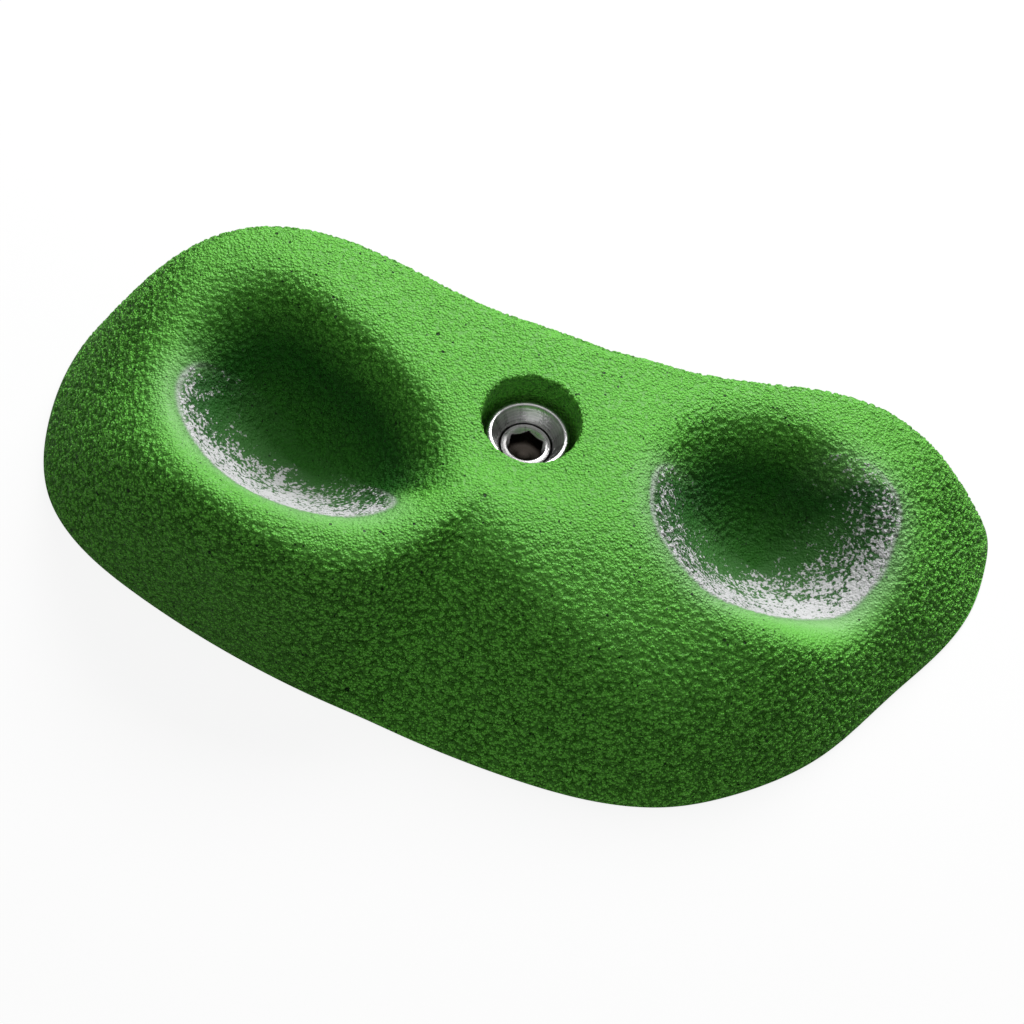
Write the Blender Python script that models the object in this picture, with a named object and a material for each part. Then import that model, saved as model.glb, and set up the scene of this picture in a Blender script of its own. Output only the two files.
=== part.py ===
"""Bolt-on climbing hold with two finger pockets, lying on its flat back.

The hold is cast resin.  Its bolt runs through a deep counterbore between the
pockets and bears, through a loose cup washer, on a steel ring that is moulded
into the resin.  The origin is where the bolt's axis meets the flat back, +Z
points out of the wall, X runs along the hold and Y across it.

The shape that takes the most skill is the cast body: one skin lofted inwards
from the foot of its wall to the counterbore, whose height is a soft blend of a
swelling crown, a fanned side wall, a flank and two bowls, so that every edge
flows into the next.
"""

import math

import bmesh
import bpy
import numpy as np

MM = 0.001

# Clearances
PRESS_GAP = 0.3 * MM          # round the ring moulded into the resin
SEAT_GAP = 0.3 * MM           # between metal faces that bear on each other
TURNING_GAP = 0.35 * MM       # round the bolt's head and shank in the washer
SHANK_GAP = 1.0 * MM          # round the shank in the ring and in the resin
COUNTERBORE_GAP = 1.7 * MM    # round the loose washer in the counterbore

# Bolt: a metric ten with an eight millimetre hexagon socket
BOLT_RADIUS = 5.0 * MM
BOLT_LENGTH = 50.0 * MM
BOLT_TIP_CHAMFER = 1.2 * MM
HEAD_HEIGHT = 5.6 * MM
HEAD_SHOULDER = 1.25 * MM     # how far the head stands out past the shank
HEAD_WALL = 1.62 * MM         # least metal round the socket's corners
HEAD_CHAMFER = 0.4 * MM
SOCKET_ACROSS_FLATS = 8.0 * MM
SOCKET_DEPTH = 4.6 * MM
SOCKET_BEVEL = 0.35 * MM      # how far the mouth's bevel reaches past the corners
DRILL_POINT_RADIUS = 3.6 * MM
DRILL_POINT_DEPTH = 1.4 * MM

# Cup washer
WASHER_FLOOR = 3.2 * MM
WASHER_CONE_DEPTH = 4.7 * MM
WASHER_CONE_FLARE = 2.3 * MM
WASHER_RIM_WIDTH = 1.6 * MM
WASHER_RIM_CHAMFER = 0.55 * MM
WASHER_TAPER = 1.2 * MM       # the flank runs in by this towards the foot
WASHER_TAPER_HEIGHT = 5.2 * MM
HEAD_PROUD = 0.3 * MM         # the head's face stands above the cone's foot
METAL_EASE = 0.3 * MM         # broken edges of the turned pieces

# Steel ring moulded into the resin under the counterbore
SEAT_RING_THICKNESS = 3.0 * MM
SEAT_RING_GRIP = 2.8 * MM     # how far it reaches into the resin past the counterbore
RESIN_UNDER_RING = 15.7 * MM

# Mouth of the counterbore
MOUTH_ROUNDING = 1.2 * MM

# Outline of the flat back seen from the front, counter-clockwise from +X, as
# directions in degrees and distances from the bolt's axis.
OUTLINE = (
    (0, 121.2 * MM), (7, 124.9 * MM), (14, 124.5 * MM), (20, 110.3 * MM),
    (26, 85 * MM), (33, 64.6 * MM), (45, 51.3 * MM), (57, 45.8 * MM),
    (72, 43 * MM), (90, 42.6 * MM), (112, 46 * MM), (130, 57.5 * MM),
    (142, 77 * MM), (152, 100 * MM), (162, 115.5 * MM), (173, 120.5 * MM),
    (184, 120.3 * MM), (195, 116.5 * MM), (210, 99.5 * MM), (225, 85.2 * MM),
    (240, 77 * MM), (250, 74.3 * MM), (260, 73.9 * MM), (272, 75.7 * MM),
    (285, 80.6 * MM), (297, 87.4 * MM), (306, 92.3 * MM), (315, 96 * MM),
    (330, 102.2 * MM), (345, 108.5 * MM),
)

# Side wall in the same directions: its steepness, rise over run, and the
# height over which it blends into what lies above it.
WALL_STEEPNESS = (
    (0, 1.34), (14, 1.85), (26, 3.6), (45, 3.7), (90, 3.3), (130, 3.25),
    (152, 2.75), (173, 1.95), (195, 2.1), (225, 3.9), (240, 2.3), (250, 1.25),
    (260, 1.05), (285, 1.00), (306, 1.13), (315, 1.38), (330, 1.47),
)
WALL_BLEND = (
    (0, 28 * MM), (50, 23 * MM), (100, 22 * MM), (150, 26 * MM), (188, 42 * MM),
    (215, 45 * MM), (240, 30 * MM), (250, 20 * MM), (260, 11.5 * MM), (272, 7 * MM),
    (297, 7.5 * MM), (306, 11 * MM), (315, 18.5 * MM), (330, 25 * MM),
)
BASE_FILLET = 0.5 * MM        # radius where the wall meets the back

# Crown, and its swellings: centre x, centre y, height, half width x, half width y
CROWN_HEIGHT = 40 * MM
CROWN_SWELLS = (
    (-65.5 * MM, 25 * MM, 5.7 * MM, 36 * MM, 34 * MM),
    (-5.5 * MM, -30 * MM, 3.5 * MM, 24 * MM, 16 * MM),
    (-1 * MM, -16 * MM, -2.3 * MM, 20 * MM, 13 * MM),
    (49 * MM, 29 * MM, -4.2 * MM, 26 * MM, 26 * MM),
    (125.5 * MM, 1 * MM, -23.8 * MM, 38 * MM, 60 * MM),
    (-110.5 * MM, -14 * MM, -10.3 * MM, 30 * MM, 40 * MM),
)

# Flank in front of the right pocket, a tilted plane
FLANK_HEIGHT = 64.2 * MM      # at the bolt's axis
FLANK_RISE_ALONG_X = -0.13
FLANK_RISE_ALONG_Y = 0.634
FLANK_BLEND = 19 * MM

# Finger pockets: deepest point, height of the floor there above the back,
# height of the lip's blend on the far and on the near side, and the mouth as
# directions in degrees and distances from the deepest point.
LEFT_POCKET = dict(
    deepest=(-55 * MM, -12 * MM), floor=14.5 * MM, far_lip=16 * MM, near_lip=9.5 * MM,
    mouth=(
        (0, 35 * MM), (30, 27.5 * MM), (60, 24.5 * MM), (90, 27.5 * MM),
        (120, 36 * MM), (148, 37 * MM), (180, 32.5 * MM), (216, 29 * MM),
        (252, 28 * MM), (288, 30.5 * MM), (324, 39 * MM), (342, 40 * MM),
    ),
)
RIGHT_POCKET = dict(
    deepest=(63 * MM, -9 * MM), floor=10.5 * MM, far_lip=17 * MM, near_lip=13 * MM,
    mouth=(
        (0, 32.5 * MM), (36, 29 * MM), (72, 28 * MM), (108, 29.5 * MM),
        (144, 31 * MM), (180, 30 * MM), (216, 28 * MM), (252, 27 * MM),
        (288, 28 * MM), (324, 31.5 * MM),
    ),
)
POCKET_ROUNDNESS = 0.9        # nought makes a cone, one and more a round bowl

# Fineness of the faceted surfaces
SKIN_DIRECTIONS = 120
SKIN_CROWDING = 0.22          # how much closer the directions lie along the hold
SKIN_RINGS = 38
SKIN_SAMPLES = 700            # heights read along one direction
BEND_CROWDING = 7 * MM        # length counted per radian of bend, to crowd rings there
CORNER_STEPS = 3              # facets round a fillet or a rounded mouth
TURNED_STEPS = 40
CUT_OVERLAP = 0.3 * MM        # how far the socket's cutters run past each other
MERGE_WITHIN = 0.0001 * MM

# Edges under this many degrees are shaded round
CAST_SMOOTH = 50
TURNED_SMOOTH = 30

# Sizes that follow
SOCKET_CORNER = SOCKET_ACROSS_FLATS / math.sqrt(3)
HEAD_RADIUS = max(BOLT_RADIUS + HEAD_SHOULDER, SOCKET_CORNER + HEAD_WALL)
SHANK_BORE = BOLT_RADIUS + TURNING_GAP
HEAD_BORE = HEAD_RADIUS + TURNING_GAP
CONE_MOUTH_RADIUS = HEAD_BORE + WASHER_CONE_FLARE
WASHER_RADIUS = CONE_MOUTH_RADIUS + WASHER_RIM_WIDTH
SHANK_HOLE = BOLT_RADIUS + SHANK_GAP
COUNTERBORE_RADIUS = WASHER_RADIUS + COUNTERBORE_GAP
SEAT_RING_RADIUS = COUNTERBORE_RADIUS + SEAT_RING_GRIP

# Heights that follow, above the flat back
SEAT_RING_FOOT_Z = RESIN_UNDER_RING + PRESS_GAP
SEAT_RING_TOP_Z = SEAT_RING_FOOT_Z + SEAT_RING_THICKNESS
WASHER_FOOT_Z = SEAT_RING_TOP_Z + SEAT_GAP
HEAD_FOOT_Z = WASHER_FOOT_Z + WASHER_FLOOR + SEAT_GAP


def clear_scene():
    for thing in list(bpy.data.objects):
        bpy.data.objects.remove(thing, do_unlink=True)


def principled(name, colour, roughness, metallic=0.0):
    made = bpy.data.materials.new(name)
    made.use_nodes = True
    shader = made.node_tree.nodes["Principled BSDF"]
    shader.inputs["Base Color"].default_value = (*colour, 1.0)
    shader.inputs["Roughness"].default_value = roughness
    shader.inputs["Metallic"].default_value = metallic
    made.diffuse_color = (*colour, 1.0)
    return made


def resin_material():
    return principled("green_resin", (0.10, 0.38, 0.055), 0.85)


def ring_material():
    return principled("zinc_plated_steel", (0.56, 0.57, 0.56), 0.42, 1.0)


def washer_material():
    return principled("turned_stainless", (0.68, 0.68, 0.67), 0.28, 1.0)


def bolt_material():
    return principled("bolt_stainless", (0.62, 0.62, 0.61), 0.33, 1.0)


def soft_min(a, b, width):
    """The lower of two heights, blended where they are within width."""
    near = np.maximum(width - np.abs(a - b), 0.0) / width
    return np.minimum(a, b) - near ** 3 * width / 6


def soft_max(a, b, width):
    return -soft_min(-a, -b, width)


def ring_spline(stations, angles):
    """Smooth closed curve through (degrees, value) stations, read at angles."""
    knots = np.radians([degrees for degrees, value in stations])
    values = np.array([value for degrees, value in stations])
    count = len(knots)
    gaps = (np.roll(knots, -1) - knots) % (2 * math.pi)
    slopes = (np.roll(values, -1) - values) / gaps
    system = np.zeros((count, count))
    for i in range(count):
        system[i, i - 1] += gaps[i - 1]
        system[i, i] += 2 * (gaps[i - 1] + gaps[i])
        system[i, (i + 1) % count] += gaps[i]
    bends = np.linalg.solve(system, 6 * (slopes - np.roll(slopes, 1)))
    turned = np.asarray(angles) % (2 * math.pi)
    before = (np.searchsorted(knots, turned, side="right") - 1) % count
    after = (before + 1) % count
    gap = gaps[before]
    along = (turned - knots[before]) % (2 * math.pi)
    left = gap - along
    cubic = (bends[before] * left ** 3 + bends[after] * along ** 3) / (6 * gap)
    start = (values[before] / gap - bends[before] * gap / 6) * left
    end = (values[after] / gap - bends[after] * gap / 6) * along
    return cubic + start + end


def crown_height(x, y):
    height = CROWN_HEIGHT
    for cx, cy, rise, wide, deep in CROWN_SWELLS:
        height = height + rise * np.exp(-((x - cx) / wide) ** 2 - ((y - cy) / deep) ** 2)
    return height


def closed_height(x, y):
    """Height of the skin before the pockets are sunk into it."""
    angles = np.arctan2(y, x)
    flank = FLANK_HEIGHT + FLANK_RISE_ALONG_X * x + FLANK_RISE_ALONG_Y * y
    height = soft_min(crown_height(x, y), flank, FLANK_BLEND)
    inward = ring_spline(OUTLINE, angles) - np.hypot(x, y)
    wall = inward * ring_spline(WALL_STEEPNESS, angles)
    return soft_min(height, wall, ring_spline(WALL_BLEND, angles))


def pocket_depth(x, y, pocket):
    """Depth of a bowl whose level lines are shrunken copies of its mouth."""
    deepest_x, deepest_y = pocket["deepest"]
    angles = np.arctan2(y - deepest_y, x - deepest_x)
    away = np.hypot(x - deepest_x, y - deepest_y) / ring_spline(pocket["mouth"], angles)
    fall = np.hypot(away, POCKET_ROUNDNESS) - POCKET_ROUNDNESS
    full_fall = math.hypot(1, POCKET_ROUNDNESS) - POCKET_ROUNDNESS
    depth = closed_height(deepest_x, deepest_y) - pocket["floor"]
    far_share = 0.5 + 0.5 * np.sin(angles)
    lip = pocket["near_lip"] + (pocket["far_lip"] - pocket["near_lip"]) * far_share
    return soft_max(0.0, depth * (1 - fall / full_fall), lip)


def skin_height(x, y):
    """Height of the cast skin over the flat back."""
    height = closed_height(x, y)
    for pocket in (LEFT_POCKET, RIGHT_POCKET):
        height = height - pocket_depth(x, y, pocket)
    return height


def base_fillet(edge, steepness):
    """Distances and heights round the fillet, from the back to the wall."""
    lean = math.atan(steepness)
    centre = edge - BASE_FILLET / math.tan(lean / 2)
    turns = np.linspace(0.0, math.pi - lean, CORNER_STEPS)
    return centre + BASE_FILLET * np.sin(turns), BASE_FILLET * (1 - np.cos(turns))


def mouth_rounding(height):
    """Distances and heights from the skin down into the counterbore."""
    turns = np.linspace(0.0, math.pi / 2, CORNER_STEPS + 1)[1:]
    distances = COUNTERBORE_RADIUS + MOUTH_ROUNDING * (1 - np.sin(turns))
    return distances, height - MOUTH_ROUNDING * (1 - np.cos(turns))


def skin_profile(edge, angle, lowest):
    """Distances and heights from the wall's foot to the counterbore's mouth."""
    distances = np.linspace(edge, COUNTERBORE_RADIUS + MOUTH_ROUNDING, SKIN_SAMPLES)
    heights = skin_height(distances * math.cos(angle), distances * math.sin(angle))
    start = np.argmax(heights > lowest + 0.5 * BASE_FILLET)
    distances = distances[start:]
    heights = heights[start:]
    tilts = np.arctan2(np.diff(heights), -np.diff(distances))
    bends = np.abs(np.diff(tilts, prepend=tilts[0]))
    steps = np.hypot(np.diff(distances), np.diff(heights)) + BEND_CROWDING * bends
    length = np.concatenate([[0.0], np.cumsum(steps)])
    even = np.linspace(0.0, length[-1], SKIN_RINGS)
    return np.interp(even, length, distances), np.interp(even, length, heights)


def bolt_hole():
    """Distances and heights down the counterbore, round the ring and out."""
    slot = SEAT_RING_RADIUS + PRESS_GAP
    slot_top = SEAT_RING_TOP_Z + PRESS_GAP
    corners = (
        (COUNTERBORE_RADIUS, slot_top),
        (slot, slot_top),
        (slot, RESIN_UNDER_RING),
        (SHANK_HOLE, RESIN_UNDER_RING),
        (SHANK_HOLE, 0.0),
    )
    return np.array(corners).T


def body_profile(angle):
    """Closed section of the cast body in one direction, as (distance, height)."""
    edge = float(ring_spline(OUTLINE, angle))
    fillet = base_fillet(edge, float(ring_spline(WALL_STEEPNESS, angle)))
    skin = skin_profile(edge, angle, fillet[1][-1])
    mouth = mouth_rounding(skin[1][-1])
    return np.hstack([fillet, skin, mouth, bolt_hole()]).T


def object_from(shape, name, material, smooth_under):
    """New object from a bmesh, its faces turned out and shaded smooth."""
    bmesh.ops.recalc_face_normals(shape, faces=shape.faces)
    mesh = bpy.data.meshes.new(name)
    shape.to_mesh(mesh)
    shape.free()
    mesh.materials.append(material)
    mesh.shade_smooth()
    mesh.set_sharp_from_angle(angle=math.radians(smooth_under))
    made = bpy.data.objects.new(name, mesh)
    bpy.context.scene.collection.objects.link(made)
    return made


def make_body():
    """Cast body: a grid whose columns are its sections, wrapped round the bolt."""
    turns = [2 * math.pi * i / SKIN_DIRECTIONS for i in range(SKIN_DIRECTIONS)]
    angles = [turn - SKIN_CROWDING * math.sin(2 * turn) for turn in turns]
    sections = [body_profile(angle) for angle in angles]
    stations = len(sections[0])
    shape = bmesh.new()
    bmesh.ops.create_grid(shape, x_segments=SKIN_DIRECTIONS, y_segments=stations, size=1)
    for vert in shape.verts:
        column = round((vert.co.x + 1) / 2 * SKIN_DIRECTIONS) % SKIN_DIRECTIONS
        row = round((vert.co.y + 1) / 2 * stations) % stations
        distance, height = sections[column][row]
        angle = angles[column]
        vert.co = (distance * math.cos(angle), distance * math.sin(angle), height)
    bmesh.ops.remove_doubles(shape, verts=shape.verts, dist=MERGE_WITHIN)
    return object_from(shape, "hold_body", resin_material(), CAST_SMOOTH)


def turned_shape(corners, has_bore=True):
    """Shape turned about Z from (radius, height, chamfer) corners at +X."""
    points = []
    for i, (radius, height, chamfer) in enumerate(corners):
        if not chamfer:
            points.append((radius, height))
            continue
        for other in (corners[i - 1], corners[(i + 1) % len(corners)]):
            along = (other[0] - radius, other[1] - height)
            share = chamfer / math.hypot(*along)
            points.append((radius + share * along[0], height + share * along[1]))
    shape = bmesh.new()
    verts = [shape.verts.new((radius, 0.0, height)) for radius, height in points]
    path = verts + verts[:1] if has_bore else verts
    edges = [shape.edges.new(pair) for pair in zip(path, path[1:])]
    bmesh.ops.spin(
        shape, geom=verts + edges, axis=(0, 0, 1), cent=(0, 0, 0),
        angle=2 * math.pi, steps=TURNED_STEPS, use_merge=True,
    )
    bmesh.ops.remove_doubles(shape, verts=shape.verts, dist=MERGE_WITHIN)
    return shape


def make_seat_ring(body):
    """Flat steel ring that the washer bears on."""
    corners = [
        (SHANK_HOLE, 0.0, METAL_EASE),
        (SEAT_RING_RADIUS, 0.0, METAL_EASE),
        (SEAT_RING_RADIUS, SEAT_RING_THICKNESS, METAL_EASE),
        (SHANK_HOLE, SEAT_RING_THICKNESS, METAL_EASE),
    ]
    ring = object_from(turned_shape(corners), "seat_ring", ring_material(), TURNED_SMOOTH)
    ring.parent = body
    ring.location.z = SEAT_RING_FOOT_Z


def make_cup_washer(body):
    """Turned cup whose cone guides the key down to the bolt's head."""
    cone_foot = WASHER_FLOOR + SEAT_GAP + HEAD_HEIGHT - HEAD_PROUD
    rim = cone_foot + WASHER_CONE_DEPTH
    corners = [
        (SHANK_BORE, 0.0, METAL_EASE),
        (WASHER_RADIUS - WASHER_TAPER, 0.0, METAL_EASE),
        (WASHER_RADIUS, WASHER_TAPER_HEIGHT, 0.0),
        (WASHER_RADIUS, rim, WASHER_RIM_CHAMFER),
        (CONE_MOUTH_RADIUS, rim, METAL_EASE),
        (HEAD_BORE, cone_foot, 0.0),
        (HEAD_BORE, WASHER_FLOOR, 0.0),
        (SHANK_BORE, WASHER_FLOOR, METAL_EASE),
    ]
    washer = object_from(turned_shape(corners), "cup_washer", washer_material(), TURNED_SMOOTH)
    washer.parent = body
    washer.location.z = WASHER_FOOT_Z
    return washer


def cone_shape(foot_radius, top_radius, height, sides):
    """Cone or prism standing on its foot, its first corner towards +Y."""
    shape = bmesh.new()
    bmesh.ops.create_cone(
        shape, cap_ends=True, segments=sides,
        radius1=foot_radius, radius2=top_radius, depth=height,
    )
    bmesh.ops.translate(shape, verts=shape.verts, vec=(0, 0, height / 2))
    return shape


def sink(target, name, shape, foot_z):
    """Takes a hidden cutter, standing at foot_z, out of the target."""
    cutter = object_from(shape, name, target.data.materials[0], TURNED_SMOOTH)
    cutter.parent = target
    cutter.location.z = foot_z
    cutter.hide_render = True
    cutter.display_type = "WIRE"
    cut = target.modifiers.new(name, "BOOLEAN")
    cut.operation = "DIFFERENCE"
    cut.object = cutter


def make_bolt(washer):
    """Turned bolt, then its hexagon socket with a drill point and a bevel."""
    corners = [
        (0.0, -BOLT_LENGTH, 0.0),
        (BOLT_RADIUS, -BOLT_LENGTH, BOLT_TIP_CHAMFER),
        (BOLT_RADIUS, 0.0, 0.0),
        (HEAD_RADIUS, 0.0, METAL_EASE),
        (HEAD_RADIUS, HEAD_HEIGHT, HEAD_CHAMFER),
        (0.0, HEAD_HEIGHT, 0.0),
    ]
    blank = turned_shape(corners, has_bore=False)
    bolt = object_from(blank, "bolt", bolt_material(), TURNED_SMOOTH)
    bolt.parent = washer
    bolt.location.z = HEAD_FOOT_Z - WASHER_FOOT_Z
    floor = HEAD_HEIGHT - SOCKET_DEPTH
    hexagon = cone_shape(SOCKET_CORNER, SOCKET_CORNER, SOCKET_DEPTH + CUT_OVERLAP, 6)
    sink(bolt, "socket_hexagon", hexagon, floor)
    drill = cone_shape(0.0, DRILL_POINT_RADIUS, DRILL_POINT_DEPTH + CUT_OVERLAP, TURNED_STEPS)
    sink(bolt, "socket_drill_point", drill, floor - DRILL_POINT_DEPTH)
    inner = SOCKET_ACROSS_FLATS / 2 - CUT_OVERLAP
    outer = SOCKET_CORNER + SOCKET_BEVEL + CUT_OVERLAP
    bevel = cone_shape(inner, outer, outer - inner, TURNED_STEPS)
    sink(bolt, "socket_bevel", bevel, HEAD_HEIGHT + CUT_OVERLAP - (outer - inner))


def main():
    clear_scene()
    body = make_body()
    make_seat_ring(body)
    washer = make_cup_washer(body)
    make_bolt(washer)


main()
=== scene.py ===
"""Climbing hold with two chalked finger pockets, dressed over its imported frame.

The cast resin skin is shaped again from the hold's own section curves, evened
out by a voxel remesh and given its grain.  The bolt gets its thread, the cup
washer its turned cone, and the steel ring its zinc.  Everything stands in the
frame's own place: the flat back lies on z = 0 and the bolt's axis is z.
"""

import math

import bmesh
import bpy
import numpy as np
from bpy.props import FloatProperty, FloatVectorProperty, IntProperty, PointerProperty
from mathutils import Matrix, Vector, noise


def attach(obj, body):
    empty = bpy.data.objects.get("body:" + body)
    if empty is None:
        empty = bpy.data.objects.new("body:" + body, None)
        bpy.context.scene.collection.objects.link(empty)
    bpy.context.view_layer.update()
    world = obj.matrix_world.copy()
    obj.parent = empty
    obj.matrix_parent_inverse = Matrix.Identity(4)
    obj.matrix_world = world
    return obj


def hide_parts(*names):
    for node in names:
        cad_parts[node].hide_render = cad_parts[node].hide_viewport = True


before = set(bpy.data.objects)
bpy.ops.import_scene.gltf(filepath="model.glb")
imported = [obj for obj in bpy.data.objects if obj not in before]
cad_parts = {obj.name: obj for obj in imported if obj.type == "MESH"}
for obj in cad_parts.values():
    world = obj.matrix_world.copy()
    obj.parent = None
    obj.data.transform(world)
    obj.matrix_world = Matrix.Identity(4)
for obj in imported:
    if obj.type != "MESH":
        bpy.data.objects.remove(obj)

bl_info = {
    "name": "Climbing hold",
    "version": (1, 0, 0),
    "blender": (4, 5, 0),
    "location": "3D View > Sidebar > Climbing hold",
    "description": "Builds a grained resin climbing hold, its bolt, washer and ring",
    "category": "Add Mesh",
}

MM = 0.001

# Outline of the flat back, as directions in degrees and distances from the
# bolt's axis, counter-clockwise from +X.
OUTLINE = (
    (0, 121.2 * MM), (7, 124.9 * MM), (14, 124.5 * MM), (20, 110.3 * MM),
    (26, 85 * MM), (33, 64.6 * MM), (45, 51.3 * MM), (57, 45.8 * MM),
    (72, 43 * MM), (90, 42.6 * MM), (112, 46 * MM), (130, 57.5 * MM),
    (142, 77 * MM), (152, 100 * MM), (162, 115.5 * MM), (173, 120.5 * MM),
    (184, 120.3 * MM), (195, 116.5 * MM), (210, 99.5 * MM), (225, 85.2 * MM),
    (240, 77 * MM), (250, 74.3 * MM), (260, 73.9 * MM), (272, 75.7 * MM),
    (285, 80.6 * MM), (297, 87.4 * MM), (306, 92.3 * MM), (315, 96 * MM),
    (330, 102.2 * MM), (345, 108.5 * MM),
)

# Side wall, by direction too: rise over run, and the height over which it blends
# into what lies above it.
WALL_STEEPNESS = (
    (0, 1.34), (14, 1.85), (26, 3.6), (45, 3.7), (90, 3.3), (130, 3.25),
    (152, 2.75), (173, 1.95), (195, 2.1), (225, 3.9), (240, 2.3), (250, 1.25),
    (260, 1.05), (285, 1.00), (306, 1.13), (315, 1.38), (330, 1.47),
)
WALL_BLEND = (
    (0, 28 * MM), (50, 23 * MM), (100, 22 * MM), (150, 26 * MM), (188, 42 * MM),
    (215, 45 * MM), (240, 30 * MM), (250, 20 * MM), (260, 11.5 * MM), (272, 7 * MM),
    (297, 7.5 * MM), (306, 11 * MM), (315, 18.5 * MM), (330, 25 * MM),
)
BASE_FILLET = 0.5 * MM

# Crown, and its swellings: centre x, centre y, height, half width x, half width y
CROWN_HEIGHT = 40 * MM
CROWN_SWELLS = (
    (-65.5 * MM, 25 * MM, 5.7 * MM, 36 * MM, 34 * MM),
    (-5.5 * MM, -30 * MM, 3.5 * MM, 24 * MM, 16 * MM),
    (-1 * MM, -16 * MM, -2.3 * MM, 20 * MM, 13 * MM),
    (49 * MM, 29 * MM, -4.2 * MM, 26 * MM, 26 * MM),
    (125.5 * MM, 1 * MM, -23.8 * MM, 38 * MM, 60 * MM),
    (-110.5 * MM, -14 * MM, -10.3 * MM, 30 * MM, 40 * MM),
)

# Flank along the near side, a plane that cuts the crown off: its height at the
# bolt's axis, its rises along x and y, and the height over which it blends in
FLANK = (64.2 * MM, -0.13, 0.634, 19 * MM)

# Finger pockets: deepest point, floor's height, blend of the far and near lip,
# and, all as directions seen from the deepest point, the mouth's distance, how
# thick the chalk lies that fingers have left, and where it starts and ends as
# shares of the mouth's distance.
LEFT_POCKET = dict(
    deepest=(-55 * MM, -12 * MM), floor=14.5 * MM, far_lip=16 * MM, near_lip=9.5 * MM,
    mouth=(
        (0, 35 * MM), (30, 27.5 * MM), (60, 24.5 * MM), (90, 27.5 * MM),
        (120, 36 * MM), (148, 37 * MM), (180, 32.5 * MM), (216, 29 * MM),
        (252, 28 * MM), (288, 30.5 * MM), (324, 39 * MM), (342, 40 * MM),
    ),
    chalk=(
        (0, 0.12), (30, 0.1), (120, 0.1), (150, 0.3), (165, 0.55), (180, 0.7),
        (195, 0.85), (210, 0.95), (240, 1.0), (270, 1.0), (300, 0.95), (315, 0.85),
        (330, 0.6), (345, 0.25),
    ),
    chalk_start=(
        (0, 0.1), (90, 0.0), (135, 0.15), (165, 0.62), (180, 0.55), (190, 0.35),
        (202, 0.12), (215, -0.05), (240, -0.2), (270, -0.3), (300, -0.2), (330, 0.1),
    ),
    chalk_end=(
        (0, 0.3), (45, 0.2), (90, 0.2), (135, 0.5), (155, 0.80), (169, 0.91),
        (180, 0.92), (198, 0.87), (222, 0.81), (248, 0.78), (263, 0.80), (280, 0.85),
        (300, 0.82), (320, 0.83), (332, 0.76), (345, 0.45),
    ),
)
RIGHT_POCKET = dict(
    deepest=(63 * MM, -9 * MM), floor=10.5 * MM, far_lip=17 * MM, near_lip=13 * MM,
    mouth=(
        (0, 32.5 * MM), (36, 29 * MM), (72, 28 * MM), (108, 29.5 * MM),
        (144, 31 * MM), (180, 30 * MM), (216, 28 * MM), (252, 27 * MM),
        (288, 28 * MM), (324, 31.5 * MM),
    ),
    chalk=(
        (0, 0.88), (15, 0.76), (30, 0.62), (45, 0.44), (62, 0.27), (80, 0.14),
        (120, 0.12), (150, 0.2), (170, 0.5), (195, 0.62), (225, 0.75), (250, 0.92),
        (280, 1.0), (320, 1.0), (345, 0.95),
    ),
    chalk_start=(
        (0, 0.1), (20, 0.35), (35, 0.6), (60, 0.65), (120, 0.2), (165, 0.7),
        (180, 0.6), (196, 0.45), (210, 0.25), (230, 0.0), (260, -0.2), (300, -0.3),
        (330, -0.15),
    ),
    chalk_end=(
        (0, 0.92), (16, 1.05), (28, 1.2), (40, 1.2), (55, 1.1), (70, 0.9),
        (90, 0.5), (120, 0.3), (150, 0.7), (165, 0.95), (181, 1.03), (205, 1.07),
        (231, 1.02), (246, 0.98), (256, 0.90), (266, 0.82), (282, 0.73), (299, 0.68),
        (314, 0.69), (336, 0.79), (351, 0.85),
    ),
)
POCKET_ROUNDNESS = 0.9

# Marks of hands round the pockets, and painted shade deep in them, with distances as
# shares of the mouth's.
# An arc of the lip counts as rubbed where its chalk lies thick enough.
RUBBED_FROM = 0.3             # thickness of chalk at which an arc begins to look rubbed
RUBBED_OVER = 0.3             # further thickness over which it becomes fully rubbed
CHALK_FADE = 0.05             # how softly the chalk ends
THINNEST_CHALK = 0.32         # chalk where it starts, as a share of that where it ends
HAZE_REACH = 0.16             # how far chalk dust reaches past the chalk
EDGE_WIDTH = 0.022            # half width of the bright line where the chalk ends
WORN_LIP = (0.85, 1.13)       # grain is worn up to the first and whole past the second
WEAR_OFF_ARCS = 0.3           # wear of the grain where the lip isn't rubbed
POCKET_SHADE_REACH = 0.86             # where the painted shade in the pockets ends away from rubbed arcs
POCKET_SHADE_FADE = 0.5               # how softly it ends there
POCKET_SHADE_FADE_AT_CHALK = 0.2      # how softly it ends under the chalk of a rubbed arc

# Fineness of the sections that the skin is evened out from, and of its foot
SECTIONS = 600
SECTION_STEPS = 320
ROUNDING_STEPS = 7
FOOT_CUT = 0.12 * MM          # how far above the fillet the skin is cut level
FILLET_STEPS = 5
CAST_SMOOTH = math.radians(62)      # edges of the cast skin stay sharp past this
TURNED_SMOOTH = math.radians(34)    # edges of turned steel stay sharp past this

# Cast grain: height over which it rises above the foot, distance over which it
# rises past the counterbore's edge
FOOT_FADE = 2 * MM
MOUTH_FADE = 3 * MM

# Bolt hole, from the front: counterbore, moulded ring's slot, shank's hole
COUNTERBORE_RADIUS = 12.2 * MM
MOUTH_ROUNDING = 1.2 * MM
SLOT_RADIUS = 15.3 * MM
SLOT_TOP_Z = 19.3 * MM
SLOT_FOOT_Z = 15.7 * MM
SHANK_HOLE_RADIUS = 6.0 * MM

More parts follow.
